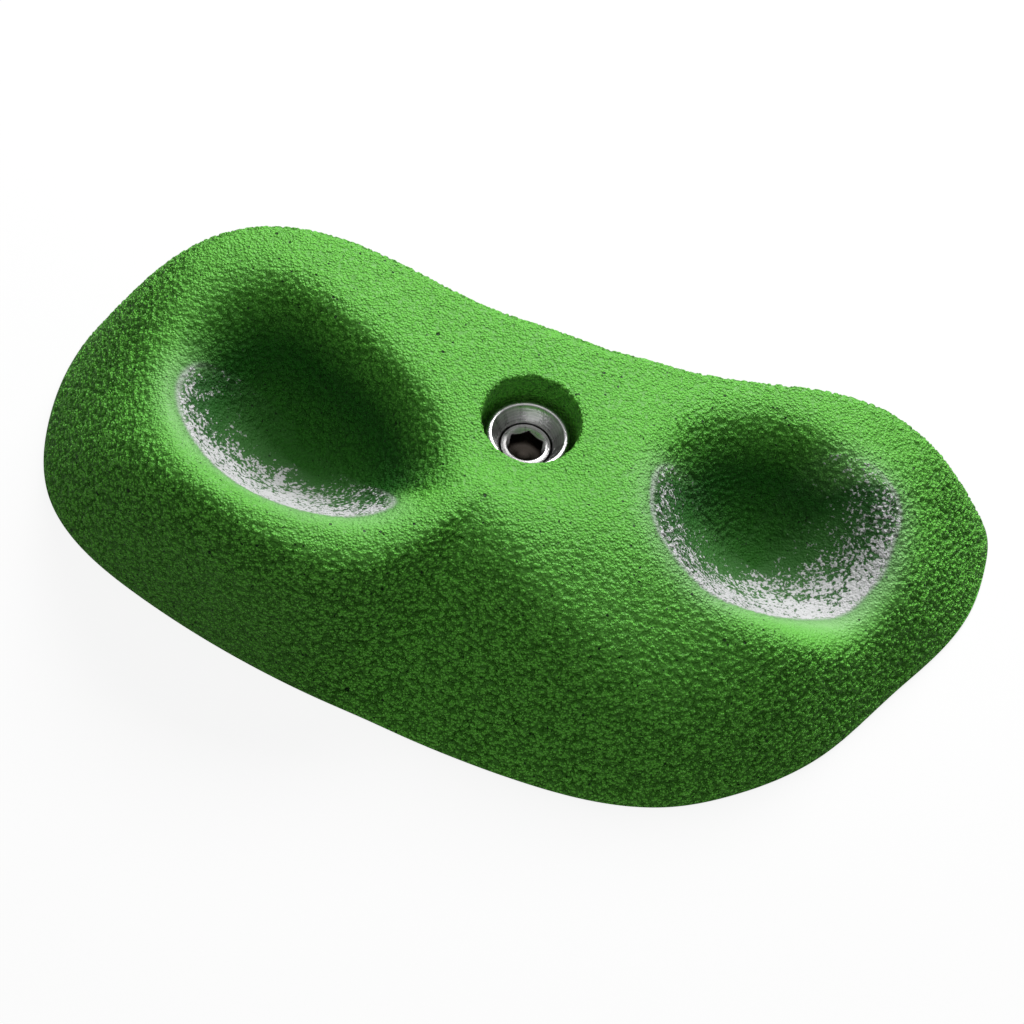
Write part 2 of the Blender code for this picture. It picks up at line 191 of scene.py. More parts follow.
# Bolt, with heights above the flat back
HEAD_FOOT_Z = 22.8 * MM
HEAD_FACE_Z = 28.4 * MM
HEAD_RADIUS = 6.25 * MM
BOLT_TIP_Z = -27.2 * MM
TIP_RING_RADIUS = 3.0 * MM    # a ring of the mesh on the flat of the tip
BOLT_RADIUS = 5.0 * MM
SHANK_RING_Z = 12 * MM        # a ring of the mesh on the plain shank
THREAD_ROOT_RADIUS = 4.08 * MM
THREAD_STEPS = 12
SOCKET_ACROSS_FLATS = 8.0 * MM
SOCKET_MOUTH_RADIUS = 4.97 * MM
SOCKET_DEPTH = 4.6 * MM
SOCKET_BEVEL_DEPTHS = tuple(
    depth * MM for depth in (0.0, 0.12, 0.25, 0.36, 0.5, 0.65, 0.8, 0.98)
)
SOCKET_WALL_DEPTHS = (2.2 * MM, 3.4 * MM)
DRILL_POINT_RADIUS = 3.6 * MM
DRILL_POINT_DEPTH = 1.4 * MM

# Cup washer: its foot's height above the flat back, and its section's corners
# as radius, height above that foot and how much each corner is rounded.
WASHER_FOOT_Z = 19.3 * MM
WASHER_SECTION = (
    (5.35 * MM, 0.0, 0.3 * MM), (9.3 * MM, 0.0, 0.3 * MM),
    (10.5 * MM, 5.2 * MM, 0.5 * MM), (10.5 * MM, 13.5 * MM, 0.9 * MM),
    (8.9 * MM, 13.5 * MM, 0.4 * MM), (6.6 * MM, 8.8 * MM, 0.15 * MM),
    (6.6 * MM, 3.2 * MM, 0.15 * MM), (5.35 * MM, 3.2 * MM, 0.3 * MM),
)

# Resin and chalk too fine for the mesh: how wide each cloud or flake is, how far
# apart the fine pits lie, and for pinholes and pits the level of the noise at
# which they open and how fast they widen above it
TINT_SIZE = 30 * MM
FLAKE_SIZE = 4.5 * MM
SPECKLE_SIZE = 0.8 * MM
PIT_SPACING = 1.7 * MM
PINHOLE_GATE = (0.45, 0.36)
PIT_GATE = (0.39, 0.60)

# Steel: roughness, and how wide the rays across each piece are in radians
# Painted shade: near-black colour inside the bolt's socket
SOCKET_SHADE = (0.035, 0.028, 0.022)
BOLT_ROUGHNESS, BOLT_RAYS = 0.30, 0.5
WASHER_ROUGHNESS, WASHER_RAYS = 0.30, 0.35

# Stage, with the lamps as place and sides
CAMERA_PLACE = (0.440 * MM, -347.97 * MM, 513.78 * MM)
CAMERA_LENS = 85
CAMERA_NEAR_LIMIT = 10 * MM
KEY_LAMP = ((0.106, 0.603, 0.514), (0.40, 0.32))
OVERHEAD_LAMP = ((0.0, -0.1, 1.0), (1.1, 1.1))
FLOOR_Z = -0.05 * MM
FLOOR_REACH = 4.0
FLOOR_HOLE_RADIUS = 7 * MM
FLOOR_GLOW = 0.88             # share of plain white in the floor that the camera sees
GLOSS_SHARE = 0.3             # share of the white surround that glossy rays see


def soft_min(a, b, width):
    """The lower of two heights, blended where they are within width."""
    near = np.maximum(width - np.abs(a - b), 0.0) / width
    return np.minimum(a, b) - near ** 3 * width / 6


def ring_spline(stations, angles):
    """Smooth closed curve through (degrees, value) stations, read at angles."""
    knots = np.radians([degrees for degrees, value in stations])
    values = np.array([value for degrees, value in stations])
    count = len(knots)
    gaps = (np.roll(knots, -1) - knots) % (2 * math.pi)
    slopes = (np.roll(values, -1) - values) / gaps
    system = np.zeros((count, count))
    for i in range(count):
        system[i, i - 1] += gaps[i - 1]
        system[i, i] += 2 * (gaps[i - 1] + gaps[i])
        system[i, (i + 1) % count] += gaps[i]
    bends = np.linalg.solve(system, 6 * (slopes - np.roll(slopes, 1)))
    turned = np.asarray(angles) % (2 * math.pi)
    before = (np.searchsorted(knots, turned, side="right") - 1) % count
    after = (before + 1) % count
    gap = gaps[before]
    along = (turned - knots[before]) % (2 * math.pi)
    left = gap - along
    cubic = (bends[before] * left ** 3 + bends[after] * along ** 3) / (6 * gap)
    start = (values[before] / gap - bends[before] * gap / 6) * left
    end = (values[after] / gap - bends[after] * gap / 6) * along
    return cubic + start + end


def closed_height(x, y):
    """Height of the skin before the pockets are sunk into it."""
    crown = CROWN_HEIGHT
    for cx, cy, rise, wide, deep in CROWN_SWELLS:
        crown = crown + rise * np.exp(-((x - cx) / wide) ** 2 - ((y - cy) / deep) ** 2)
    height, along_x, along_y, blend = FLANK
    skin = soft_min(crown, height + along_x * x + along_y * y, blend)
    angles = np.arctan2(y, x)
    inward = ring_spline(OUTLINE, angles) - np.hypot(x, y)
    wall = inward * ring_spline(WALL_STEEPNESS, angles)
    return soft_min(skin, wall, ring_spline(WALL_BLEND, angles))


def share_of_mouth(x, y, pocket):
    """Direction from a pocket's deepest point, and share of the mouth's distance."""
    deepest_x, deepest_y = pocket["deepest"]
    angles = np.arctan2(y - deepest_y, x - deepest_x)
    away = np.hypot(x - deepest_x, y - deepest_y)
    return angles, away / ring_spline(pocket["mouth"], angles)


def pocket_depth(x, y, pocket):
    """Depth of a bowl whose level lines are shrunken copies of its mouth."""
    angles, away = share_of_mouth(x, y, pocket)
    fall = np.hypot(away, POCKET_ROUNDNESS) - POCKET_ROUNDNESS
    full_fall = math.hypot(1, POCKET_ROUNDNESS) - POCKET_ROUNDNESS
    depth = closed_height(*pocket["deepest"]) - pocket["floor"]
    far_share = 0.5 + 0.5 * np.sin(angles)
    lip = pocket["near_lip"] + (pocket["far_lip"] - pocket["near_lip"]) * far_share
    return -soft_min(0.0, -depth * (1 - fall / full_fall), lip)


def skin_height(x, y):
    """Height of the cast skin over the flat back."""
    height = closed_height(x, y)
    for pocket in (LEFT_POCKET, RIGHT_POCKET):
        height = height - pocket_depth(x, y, pocket)
    return height


def smooth_step(value):
    """Nought below nought, one above one and a smooth rise between."""
    value = np.clip(value, 0.0, 1.0)
    return value * value * (3 - 2 * value)


def marks_of_hands(x, y, z):
    """Chalk left by fingers, its dust, the line it ends in, worn grain, and painted
    shade deep in the pockets.
    """
    chalk, dust, line, worn, pocket_shade = (np.zeros_like(x) for mark in range(5))
    for pocket in (LEFT_POCKET, RIGHT_POCKET):
        angles, away = share_of_mouth(x, y, pocket)
        thick = np.clip(ring_spline(pocket["chalk"], angles), 0.0, 1.0)
        start = ring_spline(pocket["chalk_start"], angles)
        end = ring_spline(pocket["chalk_end"], angles)
        inside = smooth_step((end - away) / CHALK_FADE + 0.5)
        rise = np.clip((away - start) / np.maximum(end - start, 0.1), 0.0, 1.0)
        full = THINNEST_CHALK + (1 - THINNEST_CHALK) * rise
        chalk = np.maximum(chalk, thick * inside * full)
        past = np.maximum(away - end, 0.0) / HAZE_REACH
        dust = np.maximum(dust, thick * np.exp(-past * past))
        rubbed = smooth_step((thick - RUBBED_FROM) / RUBBED_OVER)
        line = np.maximum(line, rubbed * np.exp(-(((away - end) / EDGE_WIDTH) ** 2)))
        low, high = WORN_LIP
        whole = smooth_step((away - low) / (high - low))
        wear = WEAR_OFF_ARCS + (1 - WEAR_OFF_ARCS) * rubbed
        worn = np.maximum(worn, wear * (1 - whole))
        # Painted shade deep in each pocket: it ends at the chalk on rubbed arcs and
        # further in elsewhere, and is darkest near the chalk
        edge = rubbed * end + (1 - rubbed) * POCKET_SHADE_REACH
        fade = rubbed * POCKET_SHADE_FADE_AT_CHALK + (1 - rubbed) * POCKET_SHADE_FADE
        near_chalk = smooth_step((away / edge - 0.45) / 0.35)
        pocket_shaded = smooth_step((edge - away) / fade + 0.6) * (0.92 + 0.08 * near_chalk)
        pocket_shade = np.maximum(pocket_shade, pocket_shaded)
    in_hole = np.hypot(x, y) < COUNTERBORE_RADIUS + MOUTH_ROUNDING
    on_skin = (z > SLOT_FOOT_Z - 8 * MM) & ~in_hole
    return [mark * on_skin for mark in (chalk, dust, line, worn, pocket_shade)]


class Wire:
    """A socket of a material's node tree; sums on it add Math nodes."""

    def __init__(self, tree, socket=None):
        self.tree = tree
        self.socket = socket

    def node(self, kind, settings=None, sockets=None, output=0):
        """Adds a node: its type, its settings, its sockets' values or links."""
        made = self.tree.nodes.new(kind)
        for name, value in (settings or {}).items():
            setattr(made, name, value)
        for name, value in (sockets or {}).items():
            if isinstance(value, Wire):
                self.tree.links.new(value.socket, made.inputs[name])
            else:
                made.inputs[name].default_value = value
        return Wire(self.tree, made.outputs[output])

    def maths(self, operation, *values, clamp=False):
        settings = {"operation": operation, "use_clamp": clamp}
        return self.node("ShaderNodeMath", settings, dict(enumerate(values)))

    def __add__(self, other):
        return self.maths("ADD", self, other)

    __radd__ = __add__

    def __sub__(self, other):
        return self.maths("SUBTRACT", self, other)

    def __rsub__(self, other):
        return self.maths("SUBTRACT", other, self)

    def __mul__(self, other):
        return self.maths("MULTIPLY", self, other)

    __rmul__ = __mul__

    def clamped(self):
        return self.maths("ADD", self, 0.0, clamp=True)

    def rising(self, low, high):
        """Nought below low, one above high and a smooth rise between."""
        settings = {"interpolation_type": "SMOOTHSTEP"}
        return self.node("ShaderNodeMapRange", settings, {0: self, 1: low, 2: high})

    def on_piece(self):
        """Place on the piece, in its own coordinates."""
        return self.node("ShaderNodeTexCoord", output=3)

    def marks(self, *names):
        """Values that the mesh carries on its points under these names."""
        return [
            self.node("ShaderNodeAttribute", {"attribute_name": name}, output=2)
            for name in names
        ]

    def noise(self, place, size, detail=2.0, roughness=0.5):
        """Soft cloudy noise from nought to one, its lumps about size across."""
        return self.node("ShaderNodeTexNoise", None, {
            "Vector": place, "Scale": 1 / size,
            "Detail": detail, "Roughness": roughness,
        })

    def pits(self, place, warped, spacing, opens_at, widening):
        """One in small round pits, where a noise lies above the level it opens at."""
        gate = self.noise(place, spacing * 1.3, 0.0)
        from_middle = self.node("ShaderNodeTexVoronoi", {"feature": "F1"}, {
            "Vector": warped, "Scale": 1 / spacing,
        })
        return ((gate - opens_at) * widening - from_middle).rising(0.0, 0.05)

    def noise_along(self, length, size, detail=2.0):
        """The same noise along one length."""
        return self.node("ShaderNodeTexNoise", {"noise_dimensions": "1D"}, {
            "W": length, "Scale": 1 / size, "Detail": detail,
        })

    def mix_colours(self, share, first, second):
        """Colour that goes from the first to the second as share rises."""
        settings = {"data_type": "RGBA"}
        return self.node("ShaderNodeMix", settings, {0: share, 6: first, 7: second}, 2)


def new_finish(name, **fixed):
    """New material, its shader with fixed socket values, and a wire to build on."""
    made = bpy.data.materials.new(name)
    made.use_nodes = True
    shader = made.node_tree.nodes["Principled BSDF"]
    for socket, value in fixed.items():
        shader.inputs[socket.replace("_", " ")].default_value = value
    return made, shader, Wire(made.node_tree)


def feed(shader, wire, socket):
    wire.tree.links.new(wire.socket, shader.inputs[socket])


def rgba(colour):
    return (*colour, 1.0)


def resin_finish(hold):
    """Rough cast resin: leathery grain, pits, pinholes, and chalk where fingers go,
    with painted shade in gaps, pits and pockets, painted light on steep grain tips and
    a faint painted sheen on faces that look up.
    """
    made, shader, wire = new_finish("green_resin", Specular_IOR_Level=0.22)
    place = wire.on_piece()
    raised, steep, chalk, dust, line, worn, pocket_shade = wire.marks(
        "grain", "steep", "chalk", "dust", "line", "worn", "pocket_shade",
    )
    grain = hold.fine_size
    drift = wire.node("ShaderNodeTexNoise", None, {
        "Vector": place, "Scale": 1 / grain, "Detail": 1.0,
    }, 1)
    spread = (0.5 * grain,) * 3
    warped = wire.node("ShaderNodeVectorMath", {"operation": "MULTIPLY_ADD"}, {
        0: drift, 1: spread, 2: place,
    })
    cells = wire.node("ShaderNodeTexVoronoi", {"feature": "SMOOTH_F1"}, {
        "Vector": warped, "Scale": 1 / grain, "Smoothness": 0.15,
    })
    lumps = 1 - cells.rising(0.05, 0.80)
    fine = wire.noise(place, grain * 0.55, 1.0, 0.6)
    relief = lumps * 0.8 + fine * 0.30
    # Painted shade between the grains: the cells' edges and low grain, more of it on
    # steep sides
    gaps = cells + (0.65 - raised) * (0.4 + steep * 0.4) + steep * 0.06
    gaps = gaps.rising(0.50, 0.70)

    pinholes = wire.pits(place, warped, hold.pinhole_spacing, *PINHOLE_GATE)
    pits = wire.pits(place, warped, PIT_SPACING, *PIT_GATE)
    pit = wire.maths("MAXIMUM", pinholes, pits)
    relief = relief * (0.7 + steep * 0.4) - pit * 1.6

    flakes = wire.noise(place, FLAKE_SIZE, 4.0, 0.65)
    speckle = wire.noise(place, SPECKLE_SIZE, 2.0, 0.6)
    patchy = chalk + (flakes - 0.5) * 1.5 + (speckle - 0.5) * 2.2 + (raised - 0.6) * 0.5
    coat = patchy.rising(0.52, 0.84) * chalk.rising(0.05, 0.3) * 0.95
    coat = (coat + line * 0.5).clamped()
    # Chalk dust near the pockets, and a faint whitish film on faces that look up,
    # partly dust and partly a painted sheen
    dust_and_sheen = (1 - pocket_shade) * (dust * 0.25 + (1 - steep) * 0.04) + chalk * flakes * 0.14

    # Painted shade: gaps between grains, pits and pinholes take the near-black gap
    # shade colour, more on steep sides, less on worn lips
    shade = gaps * (1 - worn * 0.85) * (steep * 0.38 + 0.3) * hold.gap_shade_strength
    shade = (shade + pit).clamped()
    tint = wire.noise(place, TINT_SIZE)
    resin, warm_resin = rgba(hold.resin_colour), rgba(hold.resin_colour_warm)
    green = wire.mix_colours(tint, resin, warm_resin)
    # Painted shade deep in the pockets
    green = wire.mix_colours(pocket_shade * 0.97, green, rgba(hold.pocket_shade_colour))
    # Painted light: the grains' tips on steep sides made lighter, as where they catch
    # the lamp
    lit_tips = (raised * 0.5 + lumps * 0.8).rising(0.55, 1.15) * steep * (1 - pocket_shade)
    green = wire.mix_colours(lit_tips * 0.5, green, rgba(hold.tip_light_colour))
    green = wire.mix_colours(shade, green, rgba(hold.gap_shade_colour))
    with_dust_and_sheen = wire.mix_colours(dust_and_sheen * (1 - shade * 0.6), green, rgba(hold.chalk_colour))
    colour = wire.mix_colours(coat * (1 - shade * 0.5), with_dust_and_sheen, rgba(hold.chalk_colour))
    feed(shader, colour, "Base Color")
    rough = 0.44 + lumps * 0.06 + coat * 0.3 + pocket_shade * 0.25 + (fine - 0.5) * 0.12
    feed(shader, rough, "Roughness")
    relief = relief * (1 - worn * 0.5)
    bump = wire.node("ShaderNodeBump", None, {
        "Strength": 1.0, "Distance": hold.fine_depth, "Height": relief + coat * 0.15,
    })
    feed(shader, bump, "Normal")
    return made


def turned_finish(name, colour, roughness, ray_width, shaded_below=None):
    """Turned steel: rings round the axis, rays across them, smudges, and painted shade
    inside a socket if any.
    """
    made, shader, wire = new_finish(
        name, Metallic=1.0, Anisotropic=0.75, Specular_IOR_Level=0.5,
    )
    place = wire.on_piece()
    flat = wire.node("ShaderNodeVectorMath", {"operation": "MULTIPLY"}, {
        0: place, 1: (1.0, 1.0, 0.0),
    })
    radius = wire.node("ShaderNodeVectorMath", {"operation": "LENGTH"}, {0: flat}, 1)
    x, y, z = (
        wire.node("ShaderNodeSeparateXYZ", None, {0: place}, axis) for axis in range(3)
    )
    across = radius + z * 0.8
    rings = wire.noise_along(across, 0.22 * MM, 2.0)
    broad_rings = wire.noise_along(across, 0.8 * MM, 1.0)
    turn = wire.maths("ARCTAN2", y, x)
    rays = wire.noise_along(turn, ray_width, 3.0)
    smudge = wire.noise(place, 3.0 * MM, 3.0)
    rough = roughness + (rings - 0.5) * 0.2 + (rays - 0.5) * 0.3 + (smudge - 0.5) * 0.2
    feed(shader, rough.clamped(), "Roughness")
    tone = (rings - 0.5) * 1.2 + (rays - 0.5) * 1.4 + (broad_rings - 0.5) * 0.9 + 0.5
    darker = tuple(0.5 * level for level in colour)
    steel = wire.mix_colours(tone.clamped(), rgba(darker), rgba(colour))
    # Painted shade: the socket's inside below its mouth darkened nearly to black
    if shaded_below:
        top_z, reach = shaded_below
        deep = (top_z - z).rising(0.0, 0.9 * MM)
        deep = deep * (reach - radius).rising(0.0, 0.25 * MM)
        steel = wire.mix_colours(deep * 0.97, steel, rgba(SOCKET_SHADE))
    feed(shader, steel, "Base Color")
    bump = wire.node("ShaderNodeBump", None, {
        "Strength": 0.7, "Distance": 0.02 * MM, "Height": rings + broad_rings * 1.5,
    })
    feed(shader, bump, "Normal")
    return made


def zinc_finish(metal):
    """Zinc plating on the moulded ring: faint spangle and dull patches."""
    made, shader, wire = new_finish("zinc_plated_steel", Metallic=1.0)
    place = wire.on_piece()
    cloud = wire.noise(place, 2.4 * MM, 4.0, 0.6)
    spangle = wire.node("ShaderNodeTexVoronoi", {"feature": "F1"}, {
        "Vector": place, "Scale": 1 / (0.8 * MM),
    })
    dull = tuple(0.62 * level for level in metal.zinc)
    feed(shader, wire.mix_colours(cloud, rgba(dull), rgba(metal.zinc)), "Base Color")
    feed(shader, 0.30 + cloud * 0.22 + spangle * 0.10, "Roughness")
    bump = wire.node("ShaderNodeBump", None, {
        "Strength": 0.5, "Distance": 0.02 * MM, "Height": cloud + spangle * 0.5,
    })
    feed(shader, bump, "Normal")
    return made


def hold_sections():
    """Closed sections of the hold round the bolt's axis, as x, y, z arrays."""
    angles = np.linspace(0.0, 2 * math.pi, SECTIONS, endpoint=False)[:, None]
    edge = ring_spline(OUTLINE, angles)
    mouth = COUNTERBORE_RADIUS + MOUTH_ROUNDING
    away = edge + (mouth - edge) * np.linspace(0.0, 1.0, SECTION_STEPS)[None, :]
    height = np.maximum(skin_height(away * np.cos(angles), away * np.sin(angles)), 0.0)
    turns = np.linspace(0.0, math.pi / 2, ROUNDING_STEPS)[None, 1:]
    rounding = mouth - MOUTH_ROUNDING * np.sin(turns) + 0 * angles
    rounding_z = height[:, -1:] - MOUTH_ROUNDING * (1 - np.cos(turns))
    hole = ((COUNTERBORE_RADIUS, SLOT_TOP_Z), (SLOT_RADIUS, SLOT_TOP_Z),
            (SLOT_RADIUS, SLOT_FOOT_Z), (SHANK_HOLE_RADIUS, SLOT_FOOT_Z),
            (SHANK_HOLE_RADIUS, 0.0))
    hole_away = np.array([corner[0] for corner in hole])[None, :] + 0 * angles
    hole_z = np.array([corner[1] for corner in hole])[None, :] + 0 * angles
    away = np.hstack([away, rounding, hole_away])
    height = np.hstack([height, rounding_z, hole_z])
    return away * np.cos(angles), away * np.sin(angles), height


def wrapped_mesh(name, x, y, z):
    """Mesh of a grid of points whose columns and rows both close on themselves."""
    columns, rows = x.shape
    points = np.stack([x, y, z], axis=-1).reshape(-1, 3)
    faces = []
    for i in range(columns):
        here, there = i * rows, (i + 1) % columns * rows
        for j in range(rows):
            after = (j + 1) % rows
            faces.append((here + j, there + j, there + after, here + after))
    mesh = bpy.data.meshes.new(name)
    mesh.from_pydata(points.tolist(), [], faces)
    mesh.validate()
    return mesh


def turned_mesh(name, radii, heights):
    """Mesh turned about Z: rows of radii, one in each direction, and their heights."""
    columns = radii.shape[1]
    turn = np.linspace(0.0, 2 * math.pi, columns, endpoint=False)[:, None]
    x, y = radii.T * np.cos(turn), radii.T * np.sin(turn)
    mesh = wrapped_mesh(name, x, y, heights[None, :] + 0 * turn)
    shape = bmesh.new()
    shape.from_mesh(mesh)
    bmesh.ops.remove_doubles(shape, verts=shape.verts, dist=0.001 * MM)
    bmesh.ops.recalc_face_normals(shape, faces=shape.faces)
    shape.to_mesh(mesh)
    shape.free()
    mesh.shade_smooth()
    mesh.set_sharp_from_angle(angle=TURNED_SMOOTH)
    return mesh


def rounded(corners, steps=5):
    """Closed section with each corner rounded, as radii and heights."""
    points = []
    for i, (radius, height, ease) in enumerate(corners):
        here = np.array((radius, height))
        ends = []
        for other in (corners[i - 1], corners[(i + 1) % len(corners)]):
            along = np.array(other[:2]) - here
            ends.append(here + along * ease / np.hypot(*along))
        first, last = ends
        for t in np.linspace(0.0, 1.0, steps):
            points.append((1 - t) ** 2 * first + 2 * t * (1 - t) * here + t * t * last)
    return np.array(points).T


def hexagon_radius(turn):
    """Distance to the socket's flats in each direction, a corner towards +Y."""
    past_flat = (turn - math.pi / 2) % (math.pi / 3) - math.pi / 6
    return SOCKET_ACROSS_FLATS / 2 / np.cos(past_flat)


def bolt_rows(metal):
    """The bolt's section from its tip round its head to the socket's bottom."""
    turn = np.linspace(0.0, 2 * math.pi, metal.steps, endpoint=False)
    round_row = np.ones(metal.steps)
    rows = [(0 * round_row, BOLT_TIP_Z), (TIP_RING_RADIUS * round_row, BOLT_TIP_Z)]
    pitch = metal.thread_pitch
    thread_top = BOLT_TIP_Z + metal.thread_length
    depth = BOLT_RADIUS - THREAD_ROOT_RADIUS
    for z in np.arange(BOLT_TIP_Z, thread_top + pitch, pitch / THREAD_STEPS):
        phase = (z / pitch - turn / (2 * math.pi)) % 1.0
        groove = np.clip(abs(phase - 0.5) * 2.6 - 0.3, 0.0, 1.0)
        run_out = np.clip((thread_top - z) / pitch + 1, 0.0, 1.0)
        tip = THREAD_ROOT_RADIUS - 0.3 * MM + (z - BOLT_TIP_Z)
        rows.append((np.minimum(BOLT_RADIUS - depth * groove * run_out, tip), z))
    for z in (SHANK_RING_Z, HEAD_FOOT_Z - 0.3 * MM):
        rows.append((BOLT_RADIUS * round_row, z))
    for radius, z in ((BOLT_RADIUS + 0.08 * MM, HEAD_FOOT_Z - 0.1 * MM),
                      (BOLT_RADIUS + 0.25 * MM, HEAD_FOOT_Z)):
        rows.append((radius * round_row, z))
    for corner_z, start in ((HEAD_FOOT_Z, 0.0), (HEAD_FACE_Z, math.pi / 2)):
        ease = 0.25 * MM if start == 0.0 else 0.4 * MM
        middle = corner_z + (ease if start == 0.0 else -ease)
        for bend in np.linspace(-math.pi / 2 + start, start, 6):
            radius = HEAD_RADIUS - ease + ease * math.cos(bend)
            rows.append((radius * round_row, middle + ease * math.sin(bend)))
    hexagon = hexagon_radius(turn)
    for deep in SOCKET_BEVEL_DEPTHS:
        bevel = np.maximum(hexagon, SOCKET_MOUTH_RADIUS - deep)
        rows.append((bevel, HEAD_FACE_Z - deep))
    for deep in SOCKET_WALL_DEPTHS:
        rows.append((hexagon, HEAD_FACE_Z - deep))
    floor = HEAD_FACE_Z - SOCKET_DEPTH
    rows.append((hexagon, floor))
    rows.append((DRILL_POINT_RADIUS * round_row, floor))
    rows.append((0.5 * DRILL_POINT_RADIUS * round_row, floor - 0.5 * DRILL_POINT_DEPTH))
    rows.append((0 * round_row, floor - DRILL_POINT_DEPTH))
    return np.array([radii for radii, z in rows]), np.array([z for radii, z in rows])


def link(name, data):
    """New object in the scene that carries a mesh, a lamp or a camera."""
    made = bpy.data.objects.new(name, data)
    bpy.context.scene.collection.objects.link(made)
    return made


def show(name, mesh, body, stands_for):
    """Puts a mesh in the scene as a piece that rides on a body of the frame."""
    made = link(name, mesh)
    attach(made, body)
    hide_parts(*stands_for)


def evened(mesh, quad_size):
    """The mesh rebuilt of even small quads that lie on it."""
    exact = link("exact_skin", mesh)
    even = link("even_skin", mesh.copy())
    remesh = even.modifiers.new("even quads", "REMESH")
    remesh.mode = "VOXEL"
    remesh.voxel_size = quad_size
    fit = even.modifiers.new("back on the skin", "SHRINKWRAP")
    fit.wrap_method = "NEAREST_SURFACEPOINT"
    fit.target = exact
    evaluated = even.evaluated_get(bpy.context.evaluated_depsgraph_get())
    made = bpy.data.meshes.new_from_object(evaluated)
    for helper in (exact, even):
        bpy.data.objects.remove(helper)
    return made


def add_foot(mesh):
    """Cuts the skin level just above its foot and gives it a clean fillet and back."""
    shape = bmesh.new()
    shape.from_mesh(mesh)
    cut = BASE_FILLET + FOOT_CUT
    bmesh.ops.bisect_plane(
        shape, geom=shape.verts[:] + shape.edges[:] + shape.faces[:],
        plane_co=(0, 0, cut), plane_no=(0, 0, -1), clear_outer=True,
    )
    rim = [edge for edge in shape.edges if edge.is_boundary]
    for share in np.linspace(1.0, 0.0, FILLET_STEPS):
        grown = bmesh.ops.extrude_edge_only(shape, edges=rim)["geom"]
        edges = [part for part in grown if isinstance(part, bmesh.types.BMEdge)]
        rim = [edge for edge in edges if edge.is_boundary]
        for vert in {vert for edge in rim for vert in edge.verts}:
            angle = math.atan2(vert.co.y, vert.co.x)
            if math.hypot(vert.co.x, vert.co.y) < 2 * SHANK_HOLE_RADIUS:
                # The shank's hole runs straight down, its first ring just below the cut
                vert.co.z = cut * share * 0.98
                continue
            lean = math.atan(float(ring_spline(WALL_STEEPNESS, angle)))
            turn = share * (math.pi - lean)
            outline = float(ring_spline(OUTLINE, angle))
            centre = outline - BASE_FILLET / math.tan(lean / 2)
            radius = centre + BASE_FILLET * math.sin(turn)
            vert.co = (
                radius * math.cos(angle), radius * math.sin(angle),
                BASE_FILLET * (1 - math.cos(turn)),
            )
    bmesh.ops.triangle_fill(shape, edges=rim, use_beauty=True, normal=(0, 0, -1))
    bmesh.ops.recalc_face_normals(shape, faces=shape.faces)
    shape.to_mesh(mesh)
    shape.free()


def add_grain(mesh, hold):
    """Raises the cast grain along the skin's normals, and marks grain, slope, hands'
    marks and the pockets' painted shade.
    """
    count = len(mesh.vertices)
    points = np.empty(count * 3, np.float32)
    mesh.vertices.foreach_get("co", points)
    points = points.reshape(-1, 3).astype(float)
    normals = np.empty(count * 3, np.float32)
    mesh.vertex_normals.foreach_get("vector", normals)
    normals = normals.reshape(-1, 3)
    facing_out = normals[:, 2]
    x, y, z = points.T
    chalk, dust, line, worn, pocket_shade = marks_of_hands(x, y, z)

    # Share of the grain's height that is left: none at the foot and in the hole,
    # less on the crown, on the steepest walls, on worn lips and at the counterbore
    away = np.hypot(x, y)
    in_hole = (away < SLOT_RADIUS + 0.5 * MM) & (z < SLOT_TOP_Z + 1 * MM)
    share = np.clip((z - BASE_FILLET) / FOOT_FADE, 0.0, 1.0) * ~in_hole
    share = share * (1 - hold.crown_wear * np.clip((facing_out - 0.8) / 0.2, 0.0, 1.0))
    share = share * (0.45 + 0.55 * smooth_step((facing_out - 0.05) / 0.4))
    off_hole = smooth_step((away - COUNTERBORE_RADIUS) / MOUTH_FADE)
    share = share * (1 - 0.65 * worn) * (0.35 + 0.65 * off_hole)

    grain = np.full(count, 0.6)
    lumps = np.zeros(count)
    for i in np.flatnonzero(share):
        here = Vector(points[i] / hold.grain_size)
        from_middle = noise.voronoi(here)[0][0]
        grain[i] = 1 - 1.3 * from_middle ** 2 + 0.35 * noise.noise(here * 0.8)
        lumps[i] = noise.noise(here / hold.lump_grains)
    grain = np.clip(grain, 0.0, 1.0)
    raised = (grain - 0.65) * hold.grain_height + lumps * hold.lump_height
    moved = points + normals * (raised * share)[:, None]
    mesh.vertices.foreach_set("co", moved.ravel())

    steep = smooth_step((0.93 - facing_out) / 0.28)
    steep = steep * (0.4 + 0.6 * smooth_step((facing_out - 0.1) / 0.35))
    marks = {
        "grain": grain, "steep": steep,
        "chalk": chalk, "dust": dust, "line": line, "worn": worn, "pocket_shade": pocket_shade,
    }
    for name, values in marks.items():
        marked = mesh.attributes.new(name, "FLOAT", "POINT")
        marked.data.foreach_set("value", values.astype(np.float32))
    mesh.update()


